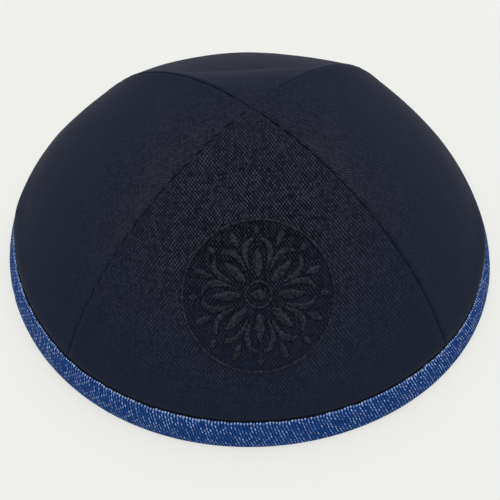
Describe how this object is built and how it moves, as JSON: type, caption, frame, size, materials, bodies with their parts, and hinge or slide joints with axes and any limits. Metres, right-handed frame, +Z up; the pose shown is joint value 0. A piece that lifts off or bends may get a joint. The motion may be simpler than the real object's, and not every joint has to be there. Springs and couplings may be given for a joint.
{
  "type": "kippah skullcap",
  "caption": "Shallow round cloth skullcap sewn from gores that meet at the crown, with a folded denim binding round the rim, open below for the head.",
  "frame": {"origin": "centre of the rim's circle, on the plane that the cap rests on", "axes": "+Z up through the crown, -Y towards the panel that carries the embroidery, +X to the right of that view"},
  "size_m": [0.1707, 0.1683, 0.0594],
  "materials": {
    "linen": "plain-woven dark navy linen, matt, with slightly uneven threads",
    "denim": "blue denim twill tape with pale flecks, matt",
    "thread": "black rayon embroidery thread in satin stitch, soft sheen"
  },
  "bodies": {
    "root": {"panel_front": "linen", "panel_right": "linen", "panel_back": "linen", "panel_left": "linen", "rim_binding": "denim"}
  },
  "joints": []
}
